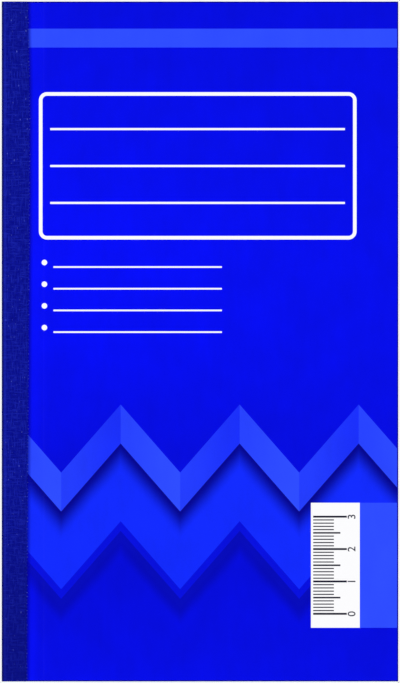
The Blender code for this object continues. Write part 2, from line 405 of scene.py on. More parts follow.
def edge_drift(down, step):
    """How far the tape's edge is drawn in at head and foot, by a step that works on nodes or on numbers."""
    return step(down, EDGE_WIDEST, 0.0) * HEAD_DRIFT + step(down, EDGE_WIDEST, SHEET_HEIGHT) * FOOT_DRIFT


def past_tape(place, side):
    """How far a place lies past the edge of the tape, which drifts in on the front and out on the back."""
    across, down, _ = split(place)
    return edge_drift(down, soft_step) * side + across - TAPE_EDGE


def blue_ground(place, side):
    """Solid blue graded from head to foot, deeper to the fore edge, with a painted highlight by the tape."""
    across, down, _ = split(place)
    ramp = add(place.tree, "ShaderNodeValToRGB", {"Fac": down / SHEET_HEIGHT})
    stops = ramp.socket.node.color_ramp.elements
    stops.remove(stops[1])
    for position, colour in GROUND_STOPS.items():
        stop = stops.new(position) if position else stops[0]
        stop.color = colour
    to_fore_edge = soft_step(across, STRIP_END, COVER_WIDTH) * FORE_EDGE_SHARE
    # A painted highlight on the strip beside the tape, where the bent card would catch the light.
    into_strip = soft_step(past_tape(place, side), 0.0, STRIP_BLUR)
    leaning = down * (STRIP_LEAN / SHEET_HEIGHT) + across
    out_of_strip = soft_step(leaning, STRIP_END + STRIP_BLUR, STRIP_END - STRIP_BLUR)
    in_strip = into_strip * out_of_strip * STRIP_SHARE
    return print_over(ramp, [(to_fore_edge, FORE_EDGE_BLUE), (in_strip, STRIP_BLUE)])


print(f"ground with {len(GROUND_STOPS)} tones, strip to {STRIP_END / MM:.1f} mm")

# %% The card and the plain print of the back
CARD_GRAIN, CARD_BUMP = 0.25 * MM, 0.0015 * MM
CARD_ROUGHNESS, ROUGHNESS_SPREAD = 0.24, 0.03
INK_LIE = {"clouds": 0.24, "streaks": 0.08, "grain": 0.07}
# Painted shadow beside the tape's edge and painted shade at the rim, both in one deep blue.
TAPE_SHADE, TAPE_SHADE_SHARE = 1.5 * MM, 0.75
RIM, RIM_BLUE = 0.4 * MM, ink(0, 0, 140)


def card_finish(name):
    """Glossy card with the faint grain of its coating: material, shader inputs and the place for print."""
    material, surface = new_material(name, roughness=CARD_ROUGHNESS, specular=0.04)
    grain = fibres(flat_place(material), grain=CARD_GRAIN)
    emboss(surface, grain["height"], CARD_BUMP)
    fill(surface["Roughness"], grain["mottle"] * ROUGHNESS_SPREAD + CARD_ROUGHNESS)
    return material, surface, print_place(material)


def lay_unevenly(place, colour):
    """Ink a little lighter and darker from place to place, as a press leaves it."""
    tone = uneven_ink(place, **INK_LIE)["tone"]
    return add(place.tree, "ShaderNodeHueSaturation", {"Color": colour, "Value": tone})


def finish_print(surface, place, side, colour):
    """Paints the shadow of the tape's raised edge on the print, and shade where the trimmed rim rounds over.
    """
    # Painted shadow beside the tape, and painted shade at the rim.
    near_tape = soft_step(past_tape(place, side), TAPE_SHADE, 0.0) * TAPE_SHADE_SHARE
    inside = printed_box(
        place, left=-COVER_WIDTH, right=COVER_WIDTH - RIM, top=RIM, bottom=SHEET_HEIGHT - RIM)["inside"]
    shaded = mix_colours(near_tape, colour, RIM_BLUE)
    fill(surface["Base Color"], mix_colours(inside, RIM_BLUE, shaded))


back_print, surface, place = card_finish("blue_card_back")
finish_print(surface, place, BACK, lay_unevenly(place, blue_ground(place, BACK)))
print("material", back_print.name)

# %% The zigzag bands and the stripe of the front
HALF_PERIOD = 0.5
ZIGZAG = mm(middle=141, swing=10.5, period=36.75, width=12, shadow=9)
THIN_ZIGZAG = mm(middle=174, swing=10.5, period=36.75, width=6, shadow=6)
TOP_STRIPE = {"left": -COVER_WIDTH, "right": 2 * COVER_WIDTH, **mm(top=8.4, bottom=14.2)}
PRINT_LIGHT, PRINT_DEEP, PRINT_SHADOW = ink(45, 75, 255), ink(24, 46, 246), ink(0, 0, 138)
LOWER_BLUE, THIN_BLUE = ink(15, 41, 250), ink(3, 12, 218)
THIN_SHADOW_SHARE = 0.5
SIDE_SHARE, BEND_SHARE = 0.6, 0.4


@shader_group
def zigzag_band(place="Vector", middle=0.0, swing=1.0, period=1.0, width=1.0, shadow=1.0):
    """A band to and fro across the sheet, masks for its faces and its shadow, and all that lies below it."""
    across, down, _ = split(place)
    periods = across / period
    to_and_fro = calc("PINGPONG", periods, HALF_PERIOD) * (2 / HALF_PERIOD) - 1.0
    below = down - (to_and_fro * swing + middle)
    return {
        "band": printed(calc("ABSOLUTE", below) - width / 2),
        "side": calc("LESS_THAN", calc("FRACT", periods), HALF_PERIOD),
        "bend": soft_step(to_and_fro, -1.0, 1.0),
        "shadow": soft_step((below - width / 2) / shadow, 1.0, 0.0),
        "below": soft_step(below, -PRINT_BLUR, PRINT_BLUR)}


front_print, surface, place = card_finish("blue_card_front")
wide, thin = zigzag_band(place, **ZIGZAG), zigzag_band(place, **THIN_ZIGZAG)
face_share = wide["side"] * SIDE_SHARE + wide["bend"] * BEND_SHARE
colour = print_over(blue_ground(place, FRONT), [
    (wide["below"] - thin["below"], LOWER_BLUE),
    (thin["band"], THIN_BLUE),
    (thin["shadow"] * thin["below"] * THIN_SHADOW_SHARE, PRINT_SHADOW),
    (wide["shadow"] * wide["below"], PRINT_SHADOW),
    (wide["band"], mix_colours(face_share, PRINT_DEEP, PRINT_LIGHT)),
    (printed_box(place, **TOP_STRIPE)["inside"], PRINT_LIGHT)])

# %% The white rules and the measuring scale of the front
LABEL = mm(left=11.5, right=109.6, top=28, bottom=73.5, corner=2.5, weight=1.1)
LABEL_ROWS = ruling(3, first=39.4, spacing=11.4, left=15, right=106, weight=0.65)
NOTE_ROWS = ruling(4, first=82.0, spacing=6.7, left=16, right=68, weight=0.5)
DOT_LEFT, DOT_TOP, DOT_RADIUS = 13.2 * MM, 80.6 * MM, 0.85 * MM
SCALE_PANEL = mm(left=95.5, right=110.6, top=154.8, bottom=193.4)
SIDE_PANEL = {**SCALE_PANEL, "left": SCALE_PANEL["right"], "right": 2 * COVER_WIDTH}
SCALE_ZERO, SCALE_LEFT = 189.1 * MM, SCALE_PANEL["left"] + 0.7 * MM
SCALE_LENGTH = 30
TICKS = {1: mm(length=6.4, weight=0.35), 5: mm(length=8.4, weight=0.5), 10: mm(length=10.4, weight=0.6)}
PRINT_WHITE, PRINT_BLACK = ink(248, 248, 250), ink(16, 16, 40)
side_panel = printed_box(place, **SIDE_PANEL)["inside"]
colour = lay_unevenly(place, mix_colours(side_panel, colour, PRINT_LIGHT))
across, down, _ = split(place)
dot_row = nearest_row(down, DOT_TOP, NOTE_ROWS["spacing"], NOTE_ROWS["count"])
white_masks = [
    printed_box(place, **LABEL)["outline"],
    printed_rules(place, **LABEL_ROWS)["line"],
    printed_rules(place, **NOTE_ROWS)["line"],
    printed(distance(across - DOT_LEFT, down - dot_row) - DOT_RADIUS),
    printed_box(place, **SCALE_PANEL)["inside"]]
colour = print_over(colour, [(mask, PRINT_WHITE) for mask in white_masks])
for step, tick in TICKS.items():
    ticks = printed_rules(
        place, first=SCALE_ZERO - SCALE_LENGTH * MM, spacing=step * MM, count=SCALE_LENGTH / step + 1,
        weight=tick["weight"], left=SCALE_LEFT, right=SCALE_LEFT + tick["length"])["line"]
    colour = mix_colours(ticks, colour, PRINT_BLACK)
finish_print(surface, place, FRONT, colour)
print("material", front_print.name, "with a scale of", SCALE_LENGTH, "mm")

# %% [markdown]
# ## Papers and boards
# Inside, the card is uncoated and pale, and its trimmed edge shows its pale core. The leaves and the shield
# are paper and board too. Each could have a tree of its own, but all are the same fibres with another grain,
# so one function makes them: two tones in a mottle, fibre bump, and a tone of its own for each leaf where
# the mesh stores one.

# %% Plain papers and boards
LEAF_TONE = "leaf_tone"
LEAF_TONE_DEPTH = 0.3
EDGE_SHADE = ink(180, 172, 142)
WHITE_TONES = ink(247, 247, 243), ink(244, 244, 239)
YELLOW_TONES = ink(253, 240, 156), ink(251, 236, 148)


def felted(name, pale, deep, grain=0.25 * MM, bump=0.006 * MM, roughness=0.75):
    """Paper or board between two tones: its material, its shader's inputs and its colour."""
    material, surface = new_material(name, roughness, specular=0.25)
    felt = fibres(flat_place(material), grain=grain)
    leaf_tone = add(material.node_tree, "ShaderNodeAttribute", output="Fac", attribute_name=LEAF_TONE)
    colour = mix_colours(felt["mottle"], pale, deep)
    colour = mix_colours(leaf_tone * LEAF_TONE_DEPTH, colour, EDGE_SHADE)
    fill(surface["Base Color"], colour)
    emboss(surface, felt["height"], bump)
    print("paper", name)
    return material, surface, colour


card_inside, *_ = felted("card_inside", ink(240, 239, 233), ink(235, 234, 227), 0.35 * MM, 0.008 * MM)
card_edge, *_ = felted("card_cut_edge", ink(206, 208, 226), ink(176, 180, 214), 0.15 * MM, 0.03 * MM)
white_paper, *_ = felted("plain_white_leaf", *WHITE_TONES)
yellow_paper, *_ = felted("plain_yellow_leaf", *YELLOW_TONES)
greyboard, *_ = felted("greyboard", ink(178, 172, 160), ink(148, 142, 130), 0.12 * MM, 0.02 * MM, 0.85)

# %% [markdown]
# ## The ruled pages
# An open book shows an index sheet and then the sets, a white top copy and a yellow duplicate with the same
# ruling: lines to write on at the head, a table with columns for amounts, and a box for the total. Lines
# could be thin strips of mesh, but they would flicker on the paper and part where it bends. The printed
# groups, laid over the plain paper, do neither.

# %% Printed pages
RULE_INK, RULE_SHARE = ink(118, 146, 204), 0.85
SET_RULES = [
    ruling(3, first=27, spacing=9, left=26, right=84, weight=0.25),
    ruling(3, first=27, spacing=9, left=92, right=116, weight=0.25),
    ruling(1, first=62, spacing=1, left=25, right=116, weight=0.4),
    ruling(17, first=69, spacing=7, left=25, right=116, weight=0.15)]
SET_COLUMNS = [
    ruling(1, first=37, spacing=1, left=54, right=188, weight=0.2),
    ruling(2, first=84, spacing=16, left=54, right=197, weight=0.2)]
SET_BOXES = [
    mm(left=25, right=116, top=54, bottom=188, weight=0.4),
    mm(left=84, right=116, top=188, bottom=197, weight=0.4)]
INDEX_RULES = [
    ruling(2, first=22, spacing=1.2, left=24, right=117, weight=0.3),
    ruling(26, first=31, spacing=6.5, left=24, right=117, weight=0.15)]
INDEX_COLUMNS = [ruling(3, first=37, spacing=27, left=23, right=194, weight=0.2)]


def ruled_page(name, tones, rules_across, rules_down, boxes):
    """Plain paper with rules across, rules down and boxes."""
    material, surface, colour = felted(name, *tones)
    place = print_place(material)
    across, down, _ = split(place)
    turned_place = add(material.node_tree, "ShaderNodeCombineXYZ", {"X": down, "Y": across})
    lines = [printed_rules(place, **row)["line"] for row in rules_across]
    lines += [printed_rules(turned_place, **column)["line"] for column in rules_down]
    lines += [printed_box(place, **box)["outline"] for box in boxes]
    fill(surface["Base Color"], print_over(colour, [(line * RULE_SHARE, RULE_INK) for line in lines]))
    return material


top_copy_page = ruled_page("top_copy_page", WHITE_TONES, SET_RULES, SET_COLUMNS, SET_BOXES)
duplicate_page = ruled_page("duplicate_page", YELLOW_TONES, SET_RULES, SET_COLUMNS, SET_BOXES)
index_page = ruled_page("index_page", WHITE_TONES, INDEX_RULES, INDEX_COLUMNS, [])

# %% [markdown]
# ## The woven tape
# The spine is closed with a navy linen-grain cloth. Close up it is a plain weave, threads over and under in
# turn, with thick places in single threads and pale undyed fibres. Modelled threads would be hundreds of
# thousands of faces, so the weave is a bump pattern. It follows the cloth round the spine, because its place
# is measured along the cloth and not through space.

# %% The weave
WAVER, WAVER_SCALE = 0.5, 0.35
THREAD_MIDDLE = 0.5
CROSSING_DIP = 0.4
SLUB_STRETCHES, SLUB_SPAN = ((0.14, 0.9, 1.0), (0.9, 0.14, 1.0)), (0.45, 0.75)
FLECK_STRETCH, FLECK_SPAN = (0.95, 0.4, 1.0), (0.77, 0.86)


@shader_group
def plain_weave(place="Vector", pitch=0.4 * MM):
    """Threads over and under in turn: their height, their thick places and pale flecks."""
    threads = place * (1.0 / pitch)
    waver = cloudy(threads, WAVER_SCALE, detail=1.0, output="Color")
    threads = calc("MULTIPLY_ADD", waver, (WAVER, WAVER, 0.0), threads)
    counts = split(threads)[:2]
    warp, weft = [calc("COSINE", (calc("FRACT", count) - THREAD_MIDDLE) * math.pi) for count in counts]
    crossing = calc("FLOOR", counts[0]) + calc("FLOOR", counts[1])
    weft_over = calc("FLOORED_MODULO", crossing, 2.0)
    over = (weft - warp) * weft_over + warp
    under = warp + weft - over
    slubs = [cloudy(threads * stretch, 1.0, detail=2.0) for stretch in SLUB_STRETCHES]
    specks = cloudy(threads * FLECK_STRETCH, 1.0, detail=0.0)
    return {
        "height": over * (under * CROSSING_DIP + (1.0 - CROSSING_DIP)),
        "slub": soft_step(largest(*slubs), *SLUB_SPAN),
        "fleck": soft_step(specks, *FLECK_SPAN)}


# %% The cloth
TAPE_CORNER = 1.0 * MM
QUARTER_TURN = math.pi / 2
CORNER_START, CORNER_LENGTH = TAPE_EDGE - TAPE_CORNER, TAPE_CORNER * QUARTER_TURN
SPINE_MIDDLE = CORNER_START + CORNER_LENGTH + (tape_high.z - tape_low.z) / 2 - TAPE_CORNER
WEAVE_PITCH, WEAVE_BUMP = 0.42 * MM, 0.07 * MM
CLOTH_NAVY, CLOTH_GAP = ink(3, 13, 164), ink(1, 4, 96)
CLOTH_SLUB, SLUB_SHARE, SLUB_HEIGHT = ink(30, 44, 188), 0.55, 0.5
CLOTH_FLECK, FLECK_SHARE = ink(98, 110, 214), 0.6
# Painted light at the spine's corners: a painted highlight where each corner starts, and painted shade further
# round.
RUBBED_WIDTH, RUBBED_GAP_SHARE, RUBBED_THREAD_SHARE = 0.4 * MM, 0.1, 0.4
TURN = mm(start=0.2, deep=0.6, fading=1.2, end=2.4)
TURN_SHADE, TURN_SHARE = ink(2, 6, 92), 0.7
FOOT_SHADE, FOOT_SHARE, FOOT_REACH = ink(2, 7, 108), 0.45, SHEET_HEIGHT / 3
cloth, surface = new_material("navy_book_cloth", roughness=0.7, specular=0.04)
place = flat_place(cloth)
weave = plain_weave(place, pitch=WEAVE_PITCH)
over_cloth, along, _ = split(place)
from_edge = calc("PINGPONG", over_cloth, SPINE_MIDDLE)
# A painted highlight along the start of each corner, then painted shade where the cloth turns down the spine.
at_corner = calc("COMPARE", from_edge, CORNER_START, RUBBED_WIDTH)
past_corner = from_edge - CORNER_START
into_turn = soft_step(past_corner, TURN["start"], TURN["deep"])
in_turn = into_turn * soft_step(past_corner, TURN["end"], TURN["fading"])
fill(surface["Base Color"], print_over(CLOTH_GAP, [
    (weave["height"], CLOTH_NAVY),
    (weave["slub"] * SLUB_SHARE, CLOTH_SLUB),
    (weave["fleck"] * FLECK_SHARE, CLOTH_FLECK),
    (at_corner * (weave["height"] * RUBBED_THREAD_SHARE + RUBBED_GAP_SHARE), CLOTH_SLUB),
    (in_turn * TURN_SHARE, TURN_SHADE),
    (soft_step(along, FOOT + FOOT_REACH, FOOT) * FOOT_SHARE, FOOT_SHADE)]))
emboss(surface, weave["slub"] * SLUB_HEIGHT + weave["height"], WEAVE_BUMP)
print("material", cloth.name)

# %% [markdown]
# ## Threads, wire and inks
# Small parts still need a finish of their own. The cut thread ends are paler than the cloth, the stitching
# wire is drawn steel, and ink sits unevenly on the fibres. One flat colour each would do from afar, but
# noise between two tones holds up close as well. It reads Object coordinates, because none of these parts
# bends.

# %% Finishes of the small parts
SPECKLE_SPAN = 0.35, 0.65
SPECKLE_BUMP = 0.01 * MM


def speckled(name, base, other, size, roughness, metallic=0.0):
    """A finish whose colour wanders between two tones over a given size."""
    material, surface = new_material(name, roughness, specular=0.4)
    surface["Metallic"].default_value = metallic
    place = add(material.node_tree, "ShaderNodeTexCoord", output="Object")
    cloud = cloudy(place, 1.0 / size, detail=3.0)
    fill(surface["Base Color"], mix_colours(soft_step(cloud, *SPECKLE_SPAN), base, other))
    emboss(surface, cloud, SPECKLE_BUMP)
    print("small finish", name)
    return material


thread = speckled("cut_thread", ink(24, 36, 170), ink(84, 96, 210), 0.9 * MM, 0.7)
wire = speckled("stitching_wire", ink(188, 190, 194), ink(150, 152, 158), 0.5 * MM, 0.3, metallic=1.0)
black_ink = speckled("black_ink", ink(16, 16, 40), ink(26, 26, 52), 0.6 * MM, 0.4)
red_ink = speckled("red_ink", ink(186, 28, 40), ink(204, 54, 62), 0.4 * MM, 0.6)

# %% [markdown]
# ## Plates, holes and perforations
# Covers and leaves are thin closed plates. A scaled cube would have no points where a sheet has to bend, so
# a plate is built from columns and rows, close together at the fold. The stitch holes and the perforation
# repeat along a line, which is work for Geometry Nodes: one tree strings boxes on a line, cuts them out of
# the plate and gives the upper, lower and cut faces their materials.

# %% A plate from columns and rows
SMOOTH_ANGLE = math.radians(20)
ROUNDING = 1e-6


def spread(start, end, step):
    """Evenly spaced places from start to end, no more than a step apart."""
    count = max(1, math.ceil((end - start) / step - ROUNDING))
    return [start + (end - start) * number / count for number in range(count + 1)]


def close_sheet(shape, upper, lower):
    """The faces of two skins, each a list of columns of points, and of the walls round their rim."""
    last_column, last_row = len(upper) - 1, len(upper[0]) - 1
    for column in range(last_column):
        for row in (0, last_row):
            (low, next_low), (high, next_high) = [
                (skin[column][row], skin[column + 1][row]) for skin in (lower, upper)]
            shape.faces.new((low, next_low, next_high, high))
    for row in range(last_row):
        for column in (0, last_column):
            low, high = lower[column], upper[column]
            shape.faces.new((low[row], low[row + 1], high[row + 1], high[row]))
        for skin in (upper, lower):
            for left, right in zip(skin, skin[1:]):
                shape.faces.new((left[row], right[row], right[row + 1], left[row + 1]))
    bmesh.ops.recalc_face_normals(shape, faces=shape.faces)


def put_in_scene(name, data, **settings):
    thing = configure(bpy.data.objects.new(name, data), **settings)
    bpy.context.scene.collection.objects.link(thing)
    return thing


def shape_to_piece(name, shape, *materials):
    mesh = bpy.data.meshes.new(name)
    shape.to_mesh(mesh)
    shape.free()
    for material in materials:
        mesh.materials.append(material)
    return put_in_scene(name, mesh)


def make_plate(name, columns, rows, top, bottom, *materials):
    """A closed plate: top and bottom give the height of its faces at each place across."""
    shape = bmesh.new()
    lower, upper = [
        [[shape.verts.new((x, y, height(x))) for y in rows] for x in columns] for height in (bottom, top)]
    close_sheet(shape, upper, lower)
    return shape_to_piece(name, shape, *materials)


def keep_flat_place(piece):
    """Stores where each point lies on the flat sheet, and shades smooth between sharp edges."""
    mesh = piece.data
    layer = mesh.attributes.new(FLAT_PLACE, "FLOAT_VECTOR", "POINT")
    layer.data.foreach_set("vector", [number for point in mesh.vertices for number in point.co])
    mesh.shade_smooth()
    mesh.set_sharp_from_angle(angle=SMOOTH_ANGLE)


print("plate helpers ready")

# %% Trees of Geometry Nodes
def line_of_points(count, first, step):
    sockets = {"Count": count, "Start Location": first, "Offset": step}
    return add(count.tree, "GeometryNodeMeshLine", sockets)


def realize(instances):
    return add(instances.tree, "GeometryNodeRealizeInstances", {"Geometry": instances})


def copies(points, thing, **sockets):
    """A copy of a thing at each point, as real geometry."""
    sockets = {"Points": points, "Instance": thing, **sockets}
    return realize(add(points.tree, "GeometryNodeInstanceOnPoints", sockets))


def set_material(geometry, material, chosen=True):
    sockets = {"Geometry": geometry, "Selection": chosen, "Material": material}
    return add(geometry.tree, "GeometryNodeSetMaterial", sockets)


def chance(seed, low, high):
    """A random number. The node's sockets 2 and 3 and its output 1 are the ones for numbers."""
    return add(seed.tree, "FunctionNodeRandomValue", {2: low, 3: high, "Seed": seed}, 1)


def add_tree(piece, tree, **values):
    """The tree as a modifier, each input set by its socket's identifier."""
    modifier = piece.modifiers.new(tree.name, "NODES")
    modifier.node_group = tree
    for socket in tree.interface.items_tree:
        if socket.in_out == "INPUT" and socket.name in values:
            modifier[socket.identifier] = values[socket.name]


def make_plain(piece):
    """The result of the modifiers as a plain mesh, without empty material slots."""
    scene_state = bpy.context.evaluated_depsgraph_get()
    mesh = bpy.data.meshes.new_from_object(piece.evaluated_get(scene_state))
    piece.modifiers.clear()
    piece.data = mesh
    mesh.name = piece.name
    for number in reversed(range(len(mesh.materials))):
        if mesh.materials[number] is None:
            mesh.materials.pop(index=number)


print("tree helpers ready")

# %% The tree that cuts a row of holes
FACING = 0.5


@geometry_tree
def punched_row(
        plate="Geometry", first="Vector", step="Vector", count="Int", hole="Vector", upper="Material",
        lower="Material", cut="Material"):
    """A plate with a row of holes, and materials on its upper, lower and cut faces."""
    tree = plate.tree
    box = add(tree, "GeometryNodeMeshCube", {"Size": hole})
    cutters = copies(line_of_points(count, first, step), box)
    meshes = {"Mesh 1": plate, "Mesh 2": cutters}
    plate = realize(add(tree, "GeometryNodeMeshBoolean", meshes, operation="DIFFERENCE"))
    plate = set_material(plate, cut)
    upward = split(add(tree, "GeometryNodeInputNormal"))[2]
    for material, operation, limit in ((upper, "GREATER_THAN", FACING), (lower, "LESS_THAN", -FACING)):
        chosen = add(tree, "FunctionNodeCompare", {"A": upward, "B": limit}, operation=operation)
        plate = set_material(plate, material, chosen)
    return {"geometry": plate}


def pierce(piece, rows_of_holes, upper, lower, cut):
    """Cuts rows of holes out of a plate, gives its faces their materials and keeps their flat places."""
    for row in rows_of_holes:
        add_tree(piece, punched_row, upper=upper, lower=lower, cut=cut, **row)
    make_plain(piece)
    keep_flat_place(piece)


# %% Where the stitches and the perforation pierce the sheets
CUTTER_REACH = 40 * MM
WIRE_ROOM = 0.1 * MM
CUT_PITCH, CUT_LENGTH, CUT_WIDTH = 4.2 * MM, 2.8 * MM, 0.25 * MM
STITCH_NODES = [name for name in frame["nodes"] if name.startswith("wire_stitch_")]
stitch_boxes = sorted((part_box(name) for name in STITCH_NODES), key=lambda box: box[0].y)
stitch_low, stitch_high = stitch_boxes[0]
stitch_middle = (stitch_low + stitch_high) / 2
stitch_step = stitch_boxes[1][0].y - stitch_low.y
wire_size = stitch_high.x - stitch_low.x
hole_size = wire_size + 2 * WIRE_ROOM
leg_reach = (stitch_high.y - stitch_low.y - wire_size) / 2
TEAR_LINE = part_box("top_copy_1_sheet")[0].x
leaf_foot, leaf_head = [corner.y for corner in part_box("index_sheet_leaf")]
cut_count = math.floor((leaf_head - leaf_foot - CUT_LENGTH) / CUT_PITCH)


def row_of_holes(x, y, step, count, width, length):
    """Holes up the sheet, the first with its middle at x and y, as the tree takes them."""
    hole = (width, length, CUTTER_REACH)
    return {"first": (x, y, 0.0), "step": (0.0, step, 0.0), "count": count, "hole": hole}


def row_at_stitches(past_middle, length):
    first = stitch_middle.y + past_middle
    return row_of_holes(stitch_middle.x, first, stitch_step, len(stitch_boxes), hole_size, length)


def row_of_cuts(x):
    first = -(cut_count - 1) * CUT_PITCH / 2
    return row_of_holes(x, first, CUT_PITCH, cut_count, CUT_WIDTH, CUT_LENGTH)


STITCH_SLOTS = [row_at_stitches(0.0, 2 * leg_reach + hole_size)]
STITCH_HOLES = [row_at_stitches(side * leg_reach, hole_size) for side in (-1, 1)]
PERFORATION, TORN_EDGE = [row_of_cuts(TEAR_LINE - CUT_WIDTH / 2)], [row_of_cuts(TEAR_LINE)]
print(f"{len(stitch_boxes)} stitches of {wire_size / MM:.1f} mm wire, {cut_count} cuts in a perforation")

# %% [markdown]
# ## The covers
# On the real book each cover is one card. A score, a groove pressed into it, lets the panel swing while the
# strip beside the spine stays stitched. The solids keep strip and panel apart for their joint, and dressed
# so they would show a crack. Here each card is a single plate again, with the groove in its face, a softened
# rim and slots where the wire beds in, and its points lie close together within two millimetres of the score,
# where it would bend.

# %% A scored card
CARD_TUCK = 0.75 * MM
CARD_BEND = 2.0 * MM
CARD_RIM = 0.07 * MM
STRIP_COLUMN, BEND_COLUMN, PANEL_COLUMN, CARD_ROW = 4 * MM, 0.1 * MM, 20 * MM, 30 * MM
CORNER_ANGLE = math.radians(60)


def turns_corner(edge):
    return edge.calc_face_angle() > CORNER_ANGLE


def round_edges(piece, chosen, size, segments=2):
    """Rounds the edges of a piece that a test chooses."""
    shape = bmesh.new()
    shape.from_mesh(piece.data)
    edges = [edge for edge in shape.edges if chosen(edge)]
    bmesh.ops.bevel(
        shape, geom=edges, offset=size, segments=segments, profile=0.5, affect="EDGES", clamp_overlap=True)
    shape.to_mesh(piece.data)
    shape.free()


def make_card(name, top, bottom, upper, lower):
    """One scored card from under the tape to the fore edge, with its slots and the materials of its faces."""
    bend_start, bend_end = SCORE - CARD_BEND, SCORE + CARD_BEND
    columns = spread(SPINE + CARD_TUCK, bend_start, STRIP_COLUMN)[:-1]
    columns += spread(bend_start, bend_end, BEND_COLUMN)[:-1]
    columns += spread(bend_end, FORE_EDGE, PANEL_COLUMN)
    card = make_plate(name, columns, spread(front_low.y, front_high.y, CARD_ROW), top, bottom)
    round_edges(card, turns_corner, CARD_RIM)
    pierce(card, STITCH_SLOTS, upper, lower, card_edge)
    return card


print("card helpers ready")

# %% The front and back cards
GROOVE_DEPTH, GROOVE_WIDTH = 0.06 * MM, 0.45 * MM
STEP_REACH = 0.8 * MM
SHIELD_CLEAR = 0.2 * MM
shield_low, shield_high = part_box("writing_shield")


def smooth_share(value, start, end):
    """0 before start and 1 after end, as the soft step of the node trees gives it."""
    share = min(max((value - start) / (end - start), 0.0), 1.0)
    return share * share * (3 - 2 * share)


def front_top(x):
    return front_high.z - GROOVE_DEPTH * math.exp(-((x - SCORE) / GROOVE_WIDTH) ** 2)


def back_step(x):
    """How far the back card still stands above its panel, beside the tape that it lies on."""
    return (back_strip_low.z - back_low.z) * smooth_share(x, SCORE + STEP_REACH, SCORE - STEP_REACH)


front_card = make_card("front_card", front_top, lambda x: front_low.z, front_print, card_inside)
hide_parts("front_cover", "front_cover_binding_strip")
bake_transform(front_card)

back_card = make_card(
    "back_card", lambda x: back_high.z + back_step(x), lambda x: back_low.z + back_step(x), card_inside,
    back_print)
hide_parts("back_cover", "back_cover_binding_strip")
back_bend_end = shield_low.x - SHIELD_CLEAR
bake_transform(back_card)
print("cards:", len(front_card.data.polygons), "and", len(back_card.data.polygons), "faces")

# %% [markdown]
# ## The numerals of the scale
# Numbers are the only lettering that this book carries. They could be printed by the material, but a text
# object gives clean digits without a drawing. It has a thickness, and it is made a mesh before it is put in
# its place, so that its origin stays with the others. Its faces share no points yet, so they are merged to
# one closed shape. It lies a hair above the card.

# %% Numerals on the front
NUMERAL_LIFT = 0.004 * MM
INK_HALF = 0.002 * MM
NUMERAL_BOLD = 0.008
SCALE_NUMERAL, SCALE_NUMERAL_LEFT = 3.4 * MM, 108.2 * MM
CENTIMETRE = 10


def numeral(name, text, size, centre, turn, material):
    """A number as a thin solid, its centre and turn given in the book's frame."""
    words = configure(
        bpy.data.curves.new(name, "FONT"), body=text, size=size, offset=size * NUMERAL_BOLD, extrude=INK_HALF,
        resolution_u=6, align_x="CENTER", align_y="CENTER")
    drawn = bpy.data.objects.new(name, words)
    shape = bmesh.new()
    shape.from_mesh(bpy.data.meshes.new_from_object(drawn))
    bpy.data.objects.remove(drawn)
    bmesh.ops.remove_doubles(shape, verts=shape.verts, dist=INK_HALF / 2)
    bmesh.ops.recalc_face_normals(shape, faces=shape.faces)
    shape.transform(Matrix.Translation(centre) @ Matrix.Rotation(turn, 4, "Z"))
    return shape_to_piece(name, shape, material)


for number in range(SCALE_LENGTH // CENTIMETRE + 1):
    down_page = SCALE_ZERO - number * CENTIMETRE * MM
    centre = Vector((SPINE + SCALE_NUMERAL_LEFT, HEAD - down_page, front_high.z + NUMERAL_LIFT))
    mark = numeral(f"scale_numeral_{number}", str(number), SCALE_NUMERAL, centre, QUARTER_TURN, black_ink)
    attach(mark, "front_cover")
print("numerals 0 to", SCALE_LENGTH // CENTIMETRE)

# %% [markdown]
# ## The cloth tape
# One strip of cloth is glued over the front card, round the spine and under the back card. It could be a
# bent plate, but its pattern would stretch at the corners. So its section is a path with two rounded
# corners, the points run along that path, and the length along the cloth is stored as the flat place that
# the weave reads. The strip is laid a little askew, so what its edge lacks on the front it has over on the
# back, and the cut edges wander a little.

# %% The path of the tape
CORNER_STEPS = 6
FLAT_SHARES = (1.0, 0.94, 0.6, 0.3)
EDGE_WANDER, WANDER_REACH = 0.12 * MM, 6 * MM


def edge_shift(side, y):
    """How far the cut edge on one cover lies from its plain place: it drifts, and it wanders a little."""
    wander = EDGE_WANDER * noise.noise(Vector((side, y / WANDER_REACH, 0.0)))
    return wander - side * edge_drift(HEAD - y, smooth_share)


def tape_path():
    """Stations along the cloth: the outer point and the way into the book, across and up, and the length."""
    top, low = tape_high.z, tape_low.z
    stations = [((TAPE_EDGE * share, top), (0, -1)) for share in FLAT_SHARES]
    for centre_z, quarters in ((top - TAPE_CORNER, 1), (low + TAPE_CORNER, 2)):
        for step in range(CORNER_STEPS + 1):
            angle = QUARTER_TURN * (quarters + step / CORNER_STEPS)
            out_u, out_z = math.cos(angle), math.sin(angle)
            stations.append(((TAPE_CORNER * (1 + out_u), centre_z + TAPE_CORNER * out_z), (-out_u, -out_z)))
    stations += [((TAPE_EDGE * share, low), (0, 1)) for share in reversed(FLAT_SHARES)]
    lengths = [0.0]
    for (before, _), (point, _) in zip(stations, stations[1:]):
        lengths.append(lengths[-1] + math.dist(before, point))
    return [(*station, length) for station, length in zip(stations, lengths)]


tape_stations = tape_path()
tape_width = tape_stations[-1][2]
print(f"tape cut {tape_width / MM:.1f} mm wide, {len(tape_stations)} stations")

# %% The tape round the spine
CLOTH_THICKNESS = 0.2 * MM
TAPE_ROW = 2.5 * MM
CLOTH_ANGLE = math.radians(50)
shape = bmesh.new()
flat = shape.verts.layers.float_vector.new(FLAT_PLACE)


def tape_point(station, y, depth):
    """A point of the tape, with its flat place: along the cloth, up the book and into the cloth."""
    (u, z), (into_u, into_z), length = station
    edge_share = u / TAPE_EDGE if into_u == 0 else 0.0
    x = SPINE + u + into_u * depth + edge_share * edge_shift(-into_z, y)
    point = shape.verts.new((x, y, z + into_z * depth))
    point[flat] = (length, y, depth)
    return point


